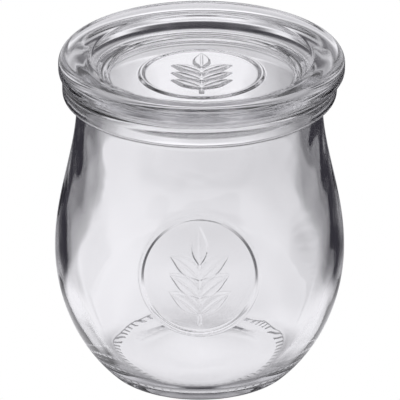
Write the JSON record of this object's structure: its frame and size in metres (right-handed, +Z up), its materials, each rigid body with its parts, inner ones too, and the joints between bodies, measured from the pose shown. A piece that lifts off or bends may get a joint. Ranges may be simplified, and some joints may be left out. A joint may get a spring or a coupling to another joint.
{
  "type": "canning jar",
  "caption": "Clear glass canning jar with a round tulip body, a raised leaf medallion, and a flat glass lid resting on its rim.",
  "frame": {"origin": "middle of the base, on the surface the jar stands on", "axes": "+Z up along the axis of the jar; the front with the medallion faces -Y"},
  "size_m": [0.072, 0.0726, 0.0836],
  "materials": {
    "jar_glass": "clear pressed glass, fire polished, slightly wavy inside",
    "lid_glass": "clear pressed glass, thick, faintly rippled on the flange"
  },
  "bodies": {
    "root": {"jar": "jar_glass", "lid": "lid_glass"}
  },
  "joints": []
}
